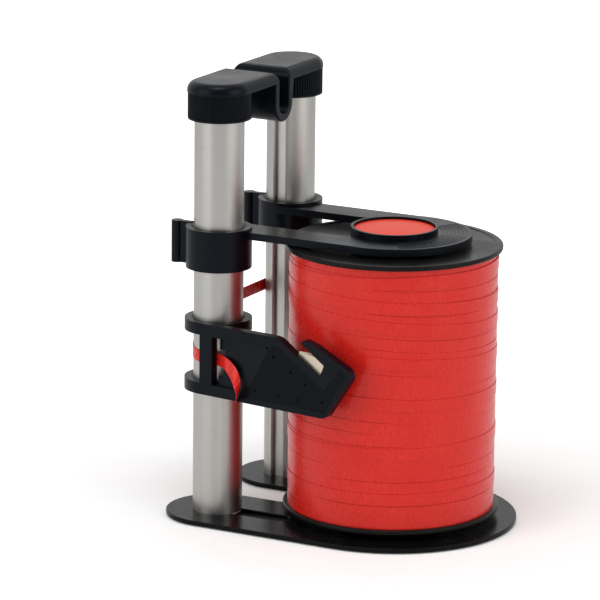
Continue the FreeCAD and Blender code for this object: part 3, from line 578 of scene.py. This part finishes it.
def on_rim(a, b):
    """Whether an edge belongs to the plate's outline, front or back, or to a ring's outside."""
    a, b = to_cutter @ a, to_cutter @ b
    middle = (a + b) / 2
    if abs(a.xy.length - cutter_face) < 0.1 * mm and abs(b.xy.length - cutter_face) < 0.1 * mm:
        return abs(a.z - b.z) < 0.01 * mm
    flat = abs(a.y - b.y) < 0.01 * mm and min(abs(a.y + cutter_face),
                                              abs(a.y + cutter_face - cutter_thick)) < 0.02 * mm
    return flat and middle.x > 1 * mm and off_outline(middle) < 1.7 * mm


cutter = merged_copy("cutter_body", "cutter_body_moulded")
sharp_edges(cutter, 60, on_rim)
bpy.ops.mesh.bevel(offset=cutter_edge, segments=4, clamp_overlap=True)
shade(cutter, 24)
cutter.data.materials.append(moulding)
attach(cutter, "cutter")
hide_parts("cutter_body")
dress("cutter_cover", moulding)
dress("cutter_liners", nylon)
dress("cutter_rivets", zinc)

# The blade: ground carbon steel, its upper edge sharpened from the front.
blade = merged_copy("cutter_blade", "cutter_blade_ground")
sharp_edges(blade, 60, lambda a, b: min(a.z, b.z) > cutter_low + 27 * mm
            and max((to_cutter @ a).y, (to_cutter @ b).y) < -14.7 * mm)
bpy.ops.transform.translate(value=(0, 0, -blade_bevel))
shade(blade, 20)

# Ground carbon steel: bright, with grinding lines along the edge. Its warm cream tint is a painted reflection of warm
# surroundings, not the steel's own colour.
ground, tree, shader, place = new_material("carbon_steel_painted_warm_reflection", Metallic=1.0)
slope = add_node(tree, "ShaderNodeMapping", {"Vector": place, "Rotation": (0, math.radians(32), 0),
                                             "Scale": (0.05, 1.0, 1.0)})
cuts = add_node(tree, "ShaderNodeTexNoise", {"Vector": slope.outputs["Vector"], "Scale": 3000.0, "Detail": 2.0})
# Both cream colours carry the painted warm reflection.
tone = add_node(tree, "ShaderNodeMix", {"Factor": cuts.outputs["Fac"], "A": srgb("#b5a593"), "B": srgb("#d2c6b6")},
                data_type="RGBA")
rough = add_node(tree, "ShaderNodeMapRange", {"Value": cuts.outputs["Fac"], "To Min": 0.22, "To Max": 0.4})
tree.links.new(tone.outputs["Result"], shader.inputs["Base Color"])
tree.links.new(rough.outputs["Result"], shader.inputs["Roughness"])
blade.data.materials.append(ground)
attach(blade, "cutter")
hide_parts("cutter_blade")

# ---- Drawn-off ribbon ------------------------------------------------------------------------------------
# The ribbon leaves the spool, goes round the outside of the rear column and on to the front column, dips
# between the cutter's rings and comes out of the window. Its end hangs over the ramp, cut off.
wrap_radius = 12.7 * mm
web_level = 30.0 * mm
web_high = 103.1 * mm
window_line = cutter_low + 18.2 * mm
leave_radius = 52.85 * mm
film_thickness = 0.26 * mm
rear_end = -18.0 * mm


def ribbon_height(distance):
    """The height of the ribbon's middle, a distance past the place where it starts to drop."""
    run = 2 * column_y - web_level + wrap_radius * (math.pi / 2 + cutter_turn)
    share = min(max(distance / run, 0.0), 1.0)
    return web_high + (window_line - web_high) * (3 * share ** 2 - 2 * share ** 3)


def round_column(y, start, end, walked, steps):
    """Points of the ribbon's middle round a column, from one bearing to another."""
    made = []
    for step in range(steps + 1):
        turned = (end - start) * step / steps
        made.append(Vector((column_x + wrap_radius * math.cos(start + turned),
                            y + wrap_radius * math.sin(start + turned),
                            ribbon_height(walked + wrap_radius * turned))))
    return made


def run_between(start, end, steps):
    """Points of the ribbon's middle along the straight run behind the columns."""
    made = []
    for step in range(steps + 1):
        y = start + (end - start) * step / steps
        made.append(Vector((column_x - wrap_radius, y, ribbon_height(column_y - web_level - y))))
    return made


def ribbon(name, upper, lower, rounds):
    """A strip of ribbon between two rows of points, smoothed and given its thickness."""
    bpy.ops.object.select_all(action="DESELECT")
    bpy.ops.mesh.primitive_grid_add(x_subdivisions=len(upper) - 1, y_subdivisions=2, size=1)
    strip = bpy.context.object
    strip.name = name
    rows = sorted({round(vertex.co.y, 5) for vertex in strip.data.vertices})
    stations = sorted({round(vertex.co.x, 5) for vertex in strip.data.vertices})
    for vertex in strip.data.vertices:
        row = rows.index(round(vertex.co.y, 5)) / (len(rows) - 1)
        station = stations.index(round(vertex.co.x, 5))
        vertex.co = lower[station].lerp(upper[station], row)
    if rounds:
        soft = strip.modifiers.new("soft", "SUBSURF")
        soft.levels = soft.render_levels = rounds
        soft.boundary_smooth = "PRESERVE_CORNERS"
        bpy.ops.object.modifier_apply(modifier=soft.name)
    body = strip.modifiers.new("body", "SOLIDIFY")
    body.thickness = film_thickness
    body.offset = 0
    bpy.ops.object.modifier_apply(modifier=body.name)
    shade(strip, 50)
    strip.data.materials.append(satin)
    return strip


half_width = Vector((0, 0, ribbon_width / 2))
bearing = math.atan2(column_y, column_x)
tangent = bearing - math.acos((leave_radius - wrap_radius) / math.hypot(column_x, column_y))
route = [Vector((leave_radius * math.cos(tangent), leave_radius * math.sin(tangent), web_high))]
around = round_column(column_y, tangent, math.pi, -2 * column_y, 40)
route += [route[0].lerp(around[0], share / 8) for share in range(1, 8)] + around
route += run_between(column_y, rear_end, 28)[1:]
web = ribbon("ribbon_run", [point + half_width for point in route], [point - half_width for point in route], 0)
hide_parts("ribbon_web")
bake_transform(web)

route = run_between(rear_end, -column_y, 12)[:-1]
route += round_column(-column_y, math.pi, 3 * math.pi / 2 + cutter_turn, 2 * column_y - web_level, 32)
wrap = ribbon("ribbon_round_column", [point + half_width for point in route],
              [point - half_width for point in route], 0)
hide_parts("ribbon_wrap")
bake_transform(wrap)

tail_upper = [(0.0, -4.3, 21.2), (4.4, -4.6, 21.2), (8.4, -4.85, 21.1), (11.2, -3.9, 21.3), (15.4, -1.9, 21.3),
              (19.0, -0.5, 20.6), (22.0, 0.4, 19.3), (24.6, 0.7, 17.2), (26.4, 0.9, 14.6), (27.4, 0.9, 11.4),
              (27.2, 0.9, 8.6), (26.4, 0.9, 5.6), (25.3, 0.8, 2.8), (24.2, 0.7, 0.0)]
tail_lower = [(0.0, -4.3, 15.2), (4.4, -4.6, 15.2), (8.4, -4.85, 15.1), (11.0, -3.9, 15.2), (14.6, -1.9, 15.2),
              (17.4, -0.3, 14.6), (19.6, 1.0, 13.6), (21.9, 2.0, 12.0), (24.2, 3.4, 10.2), (26.3, 5.0, 8.4),
              (27.9, 5.7, 6.6), (28.6, 5.9, 5.6), (28.4, 5.7, 3.9), (27.5, 5.5, 1.4)]
from_cutter = to_cutter.inverted()
edges = [[from_cutter @ Vector((along * mm, -cutter_face - out * mm, high * mm)) for along, out, high in row]
         for row in (tail_upper, tail_lower)]
tail = ribbon("ribbon_end", *edges, 2)
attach(tail, "cutter")
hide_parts("ribbon_tail")

# ---- Room ------------------------------------------------------------------------------------------------
# A white floor in a white room, lit by a large soft box on each side and a small one above. To the camera the floor
# glows, more with the distance from the stand, so that the shadow on it stays. In reflections it glows a little.
floor_made, tree, shader, place = new_material("painted_floor_white", Roughness=0.9, IOR=1.45)
speck = add_node(tree, "ShaderNodeTexNoise", {"Vector": place, "Scale": 40.0})
tone = add_node(tree, "ShaderNodeMix", {"Factor": speck.outputs["Fac"], "A": srgb("#f6f6f6"), "B": srgb("#fafafa")},
                data_type="RGBA")
tree.links.new(tone.outputs["Result"], shader.inputs["Base Color"])
seen = add_node(tree, "ShaderNodeLightPath")
either = add_node(tree, "ShaderNodeMath", {0: seen.outputs["Is Camera Ray"], 1: seen.outputs["Is Transmission Ray"]},
                  operation="MAXIMUM")
distance = add_node(tree, "ShaderNodeVectorMath", {0: place}, operation="LENGTH")
spread = add_node(tree, "ShaderNodeMapRange", {"Value": distance.outputs["Value"], "From Min": 0.11, "From Max": 0.6,
                                               "To Min": 0.1, "To Max": 0.8})
seen_glow = add_node(tree, "ShaderNodeMath", {0: either.outputs[0], 1: spread.outputs["Result"]}, operation="MULTIPLY")
glow = add_node(tree, "ShaderNodeMath", {0: seen.outputs["Is Glossy Ray"], 1: 0.1, 2: seen_glow.outputs[0]},
                operation="MULTIPLY_ADD")
shader.inputs["Emission Color"].default_value = (1, 1, 1, 1)
tree.links.new(glow.outputs[0], shader.inputs["Emission Strength"])
bpy.ops.mesh.primitive_plane_add(size=12)
floor = bpy.context.object
floor.name = "floor"
floor.data.materials.append(floor_made)
floor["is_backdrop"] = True

# The room: white to the camera. In reflections it is brighter behind the stand than on the camera's side.
world = bpy.data.worlds.new("studio")
bpy.context.scene.world = world
world.use_nodes = True
tree = world.node_tree
tree.nodes.clear()
seen = add_node(tree, "ShaderNodeLightPath")
bearing_of = add_node(tree, "ShaderNodeTexCoord").outputs["Generated"]
behind = add_node(tree, "ShaderNodeVectorMath", {0: bearing_of, 1: (-0.45, 0.85, 0.28)}, operation="DOT_PRODUCT")
bright = add_node(tree, "ShaderNodeMapRange", {"Value": behind.outputs["Value"], "From Min": -0.6, "From Max": 0.7,
                                               "To Min": 0.2, "To Max": 1.0}, interpolation_type="SMOOTHSTEP")
either = add_node(tree, "ShaderNodeMath", {0: seen.outputs["Is Camera Ray"], 1: seen.outputs["Is Transmission Ray"]},
                  operation="MAXIMUM")
soft = add_node(tree, "ShaderNodeMix", {"Factor": seen.outputs["Is Glossy Ray"], "A": 0.5,
                                        "B": bright.outputs["Result"]}, data_type="FLOAT")
level = add_node(tree, "ShaderNodeMix", {"Factor": either.outputs[0], "A": soft.outputs["Result"], "B": 1.0},
                 data_type="FLOAT")
sky = add_node(tree, "ShaderNodeBackground", {"Color": (1, 1, 1, 1), "Strength": level.outputs["Result"]})
add_node(tree, "ShaderNodeOutputWorld", {"Surface": sky.outputs["Background"]})

stand_middle = Vector((-30.0, 0.0, 110.0)) * mm
for name, place, size, power in (("left_box", (-0.9, -1.45, 0.72), 1.3, 11.2),
                                 ("right_box", (1.7, -0.15, 0.72), 1.3, 12.2),
                                 ("top_box", (0.0, -0.4, 1.6), 0.6, 8.0)):
    lamp = bpy.data.lights.new(name, "AREA")
    lamp.shape = "SQUARE"
    lamp.size = size
    lamp.energy = power
    box = bpy.data.objects.new(name, lamp)
    bpy.context.collection.objects.link(box)
    box.location = place
    box.rotation_euler = (stand_middle - Vector(place)).to_track_quat("-Z", "Y").to_euler()

# The camera stands in front of the stand's right side, a little above it.
azimuth, elevation, roll = math.radians(27.735), math.radians(14.002), math.radians(0.61)
looked_at = Vector((-76.137, 44.374, 94.302)) * mm
camera_distance = 2217.7 * mm
ahead = Vector((-math.sin(azimuth) * math.cos(elevation), math.cos(azimuth) * math.cos(elevation),
                -math.sin(elevation)))
right = Vector((math.cos(azimuth), math.sin(azimuth), 0))
upward = right.cross(ahead)
rolled_right = right * math.cos(roll) + upward * math.sin(roll)
rolled_up = upward * math.cos(roll) - right * math.sin(roll)
camera = bpy.data.objects.new("camera", bpy.data.cameras.new("camera"))
bpy.context.collection.objects.link(camera)
camera.data.sensor_width = 36.0
camera.data.lens = 256.51
camera.data.clip_start = 0.1
camera.matrix_world = (Matrix.Translation(looked_at - ahead * camera_distance)
                       @ Matrix((rolled_right, rolled_up, -ahead)).transposed().to_4x4())
bpy.context.scene.camera = camera
bpy.context.scene.view_settings.view_transform = "Standard"

low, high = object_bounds()
